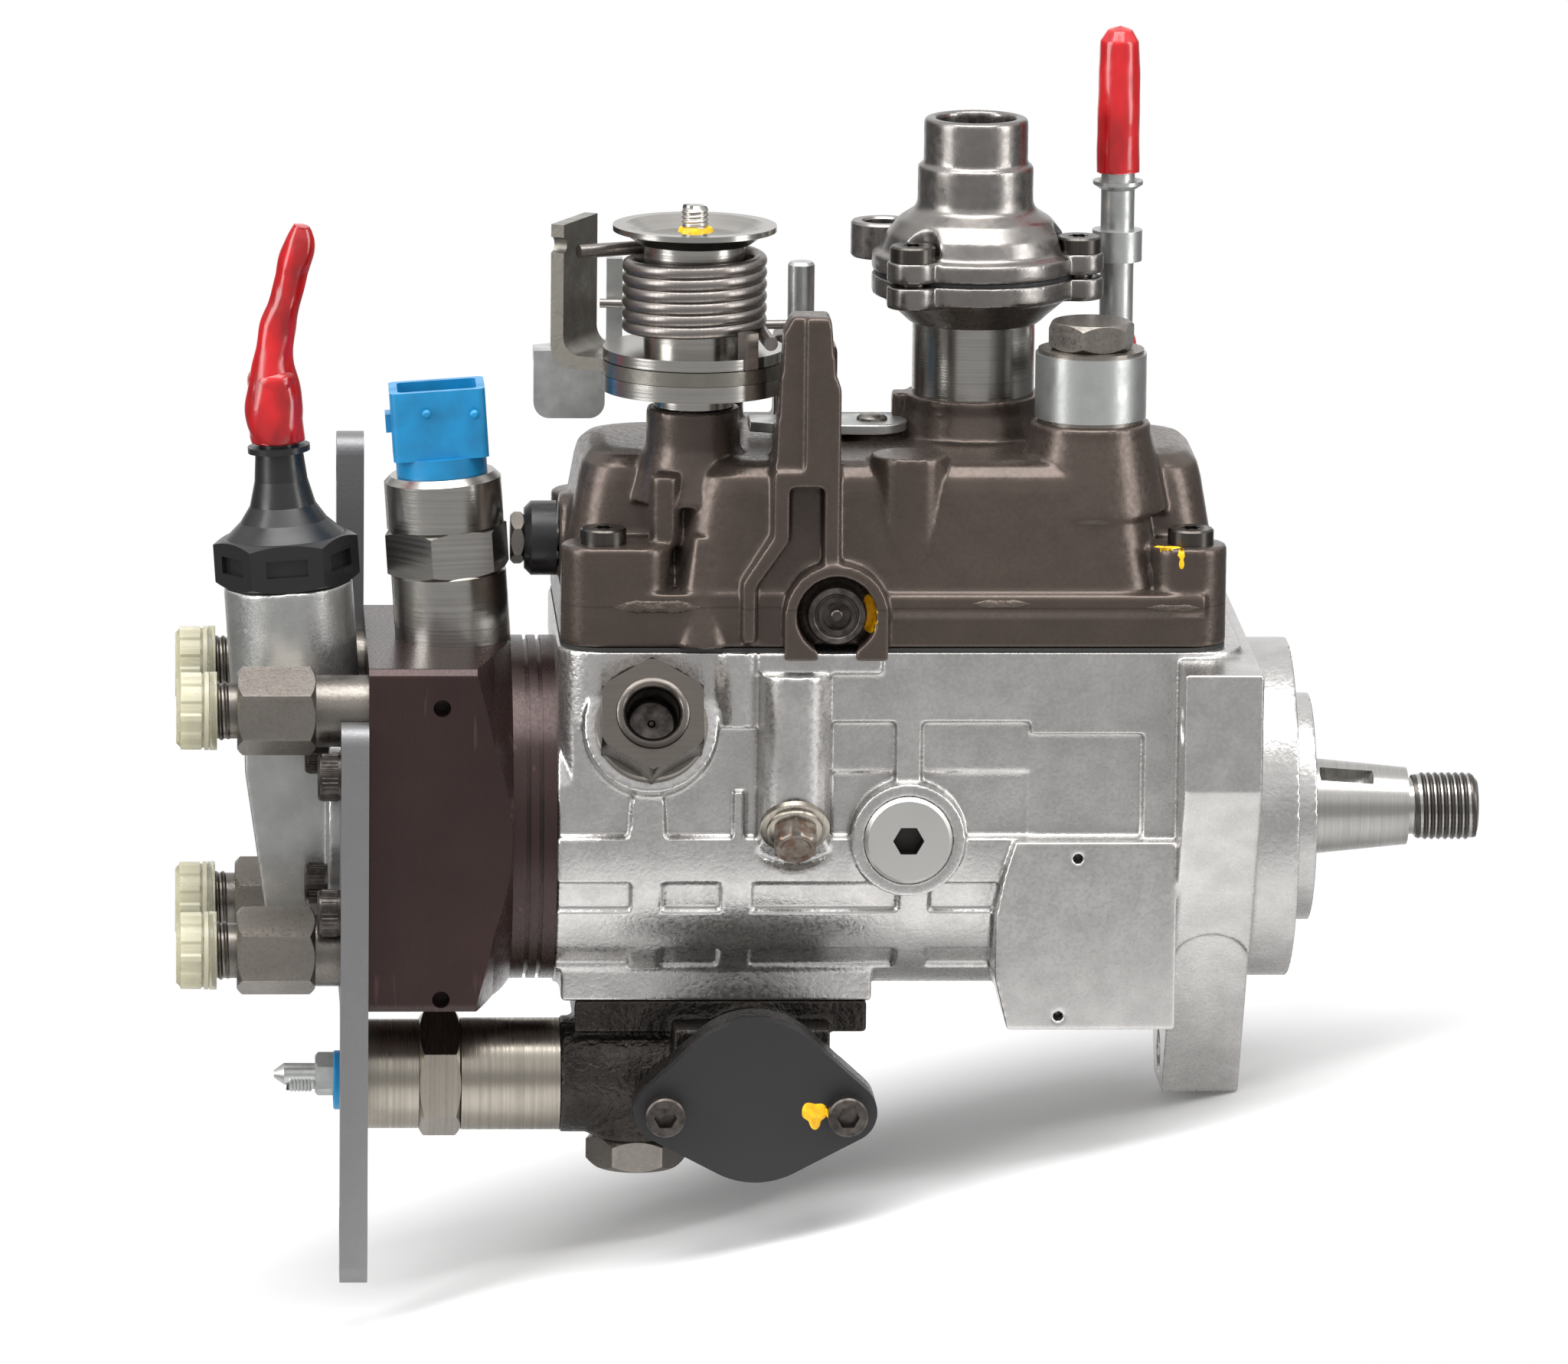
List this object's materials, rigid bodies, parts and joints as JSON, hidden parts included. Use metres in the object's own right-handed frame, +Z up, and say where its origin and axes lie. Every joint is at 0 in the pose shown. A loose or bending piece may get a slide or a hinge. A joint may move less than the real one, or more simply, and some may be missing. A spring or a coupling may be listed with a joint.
{
  "type": "rotary distributor fuel injection pump",
  "caption": "Flange-mounted rotary diesel injection pump: cast housing, steel head with outlets, governor cover with throttle and boost control, advance unit below.",
  "frame": {"origin": "centre of the flange face on the drive axis, where the pilot starts", "axes": "+X out along the drive shaft, +Z up to the governor cover, -Y the side with the hexagon port and the round plug"},
  "size_m": [0.2864, 0.1122, 0.2693],
  "materials": {
    "cast_aluminium": "light sand-cast aluminium, bead blasted",
    "cover_casting": "warm grey-brown satin coated casting",
    "phosphated_steel": "dark brown phosphated ground steel",
    "plate_steel": "grey tumbled plate",
    "turned_steel": "bright turned and ground steel",
    "grey_steel": "grey-brown machined steel",
    "zinc_steel": "zinc plated steel",
    "black_screw": "black oxide fastener",
    "cast_iron": "rough black iron casting",
    "cover_plate_black": "flat near-black plate",
    "black_plastic": "black moulded plastic",
    "blue_plastic": "blue moulded plastic",
    "clear_cap": "milky translucent plastic",
    "red_vinyl": "glossy red dipped vinyl",
    "spring_steel": "dark oiled spring wire",
    "die_cast": "bright die-cast metal",
    "bronze": "sintered bronze",
    "seal_rubber": "black nitrile rubber",
    "gasket_paper": "dark gasket sheet",
    "brass_blade": "tinned brass blade"
  },
  "bodies": {
    "root": {"pump_housing": "cast_aluminium", "drive_bush": "bronze", "shaft_seals": "seal_rubber", "hydraulic_head": "phosphated_steel", "head_sleeve": "turned_steel", "transfer_liner": "turned_steel", "delivery_valve_holders": "grey_steel", "outlet_caps": "clear_cap", "end_bracket": "plate_steel", "pump_end_cover": "cast_aluminium", "head_screws": "black_screw", "inlet_plastic_cap": "black_plastic", "inlet_hose_cap": "red_vinyl", "solenoid_body": "turned_steel", "solenoid_connector": "blue_plastic", "solenoid_terminals": "brass_blade", "governor_cover": "cover_casting", "cover_gasket": "gasket_paper", "torx_screws": "black_screw", "tamper_screw": "black_screw", "idle_sleeve": "black_plastic", "idle_screw": "grey_steel", "throttle_spring": "spring_steel", "stop_spring": "spring_steel", "boost_stand": "grey_steel", "boost_lower_half": "die_cast", "boost_diaphragm": "seal_rubber", "boost_upper_half": "die_cast", "return_banjo": "zinc_steel", "banjo_bolt": "grey_steel", "pipe_caps": "red_vinyl", "pressure_port": "grey_steel", "lock_bolt": "zinc_steel", "timing_plug": "cast_aluminium", "advance_housing": "cast_iron", "advance_cover": "cover_plate_black", "advance_cover_screws": "black_screw", "advance_end_plug": "cast_iron", "cold_start_actuator": "turned_steel", "actuator_washer": "blue_plastic", "actuator_terminal": "zinc_steel", "under_bolt": "grey_steel"},
    "drive": {"drive_shaft": "turned_steel", "governor_cage": "grey_steel", "pump_rotor": "turned_steel", "plungers_and_rollers": "turned_steel", "transfer_rotor": "turned_steel"},
    "weight_upper": {"governor_weight_upper": "grey_steel"},
    "weight_lower": {"governor_weight_lower": "grey_steel"},
    "thrust_sleeve": {"governor_sleeve": "turned_steel"},
    "arm": {"governor_arm": "plate_steel"},
    "link": {"governor_link": "plate_steel"},
    "metering": {"metering_valve": "turned_steel"},
    "cam": {"cam_ring": "turned_steel"},
    "advance": {"advance_piston": "turned_steel"},
    "throttle": {"throttle_shaft": "grey_steel", "throttle_lever": "zinc_steel", "spring_dish": "grey_steel"},
    "stop": {"stop_lever": "zinc_steel"},
    "plunger": {"solenoid_plunger": "turned_steel"}
  },
  "joints": [
    {"name": "drive_turn", "type": "hinge", "parent": "root", "child": "drive", "pos_m": [0, 0, 0], "axis": [1, 0, 0], "continuous": true},
    {"name": "governor_travel", "type": "slide", "parent": "root", "child": "thrust_sleeve", "axis": [-1, 0, 0], "range_m": [0, 0.0022]},
    {"name": "weight_upper_swing", "type": "hinge", "parent": "drive", "child": "weight_upper", "pos_m": [-0.0535, 0, 0.01899], "axis": [0, 1, 0], "range_deg": [0, 16]},
    {"name": "weight_lower_swing", "type": "hinge", "parent": "drive", "child": "weight_lower", "pos_m": [-0.0535, 0, -0.01899], "axis": [0, -1, 0], "range_deg": [0, 16]},
    {"name": "arm_tilt", "type": "hinge", "parent": "root", "child": "arm", "pos_m": [-0.0868, 0, 0.034], "axis": [0, 1, 0], "range_deg": [0, 5]},
    {"name": "link_travel", "type": "slide", "parent": "root", "child": "link", "axis": [1, 0, 0], "range_m": [0, 0.002]},
    {"name": "metering_turn", "type": "hinge", "parent": "root", "child": "metering", "pos_m": [-0.146, 0, 0.03], "axis": [0, 0, -1], "range_deg": [0, 10]},
    {"name": "advance_travel", "type": "slide", "parent": "root", "child": "advance", "axis": [0, 1, 0], "range_m": [0, 0.006]},
    {"name": "cam_turn", "type": "hinge", "parent": "root", "child": "cam", "pos_m": [-0.1185, 0, 0], "axis": [1, 0, 0], "range_deg": [0, 7]},
    {"name": "throttle_turn", "type": "hinge", "parent": "root", "child": "throttle", "pos_m": [-0.132, -0.018, 0.1], "axis": [0, 0, -1], "range_deg": [0, 45], "stiffness_Nm_per_rad": 0.8, "springref_deg": -22.92, "deforming": ["throttle_spring"]},
    {"name": "stop_turn", "type": "hinge", "parent": "root", "child": "stop", "pos_m": [-0.128, 0.025, 0.096], "axis": [0, 0, -1], "range_deg": [0, 40], "stiffness_Nm_per_rad": 0.3, "springref_deg": -17.19, "deforming": ["stop_spring"]},
    {"name": "solenoid_lift", "type": "slide", "parent": "root", "child": "plunger", "axis": [-0.0698, 0, 0.9976], "range_m": [0, 0.0016], "stiffness_N_per_m": 1500, "springref_m": -0.002}
  ],
  "couplings": [
    {"joint": "weight_upper_swing", "follows": "governor_travel", "rad_per_m": 119},
    {"joint": "weight_lower_swing", "follows": "governor_travel", "rad_per_m": 119},
    {"joint": "arm_tilt", "follows": "governor_travel", "rad_per_m": 29.412},
    {"joint": "link_travel", "follows": "governor_travel", "ratio": 0.6471},
    {"joint": "metering_turn", "follows": "governor_travel", "rad_per_m": 64.706},
    {"joint": "cam_turn", "follows": "advance_travel", "rad_per_m": 17.857}
  ]
}
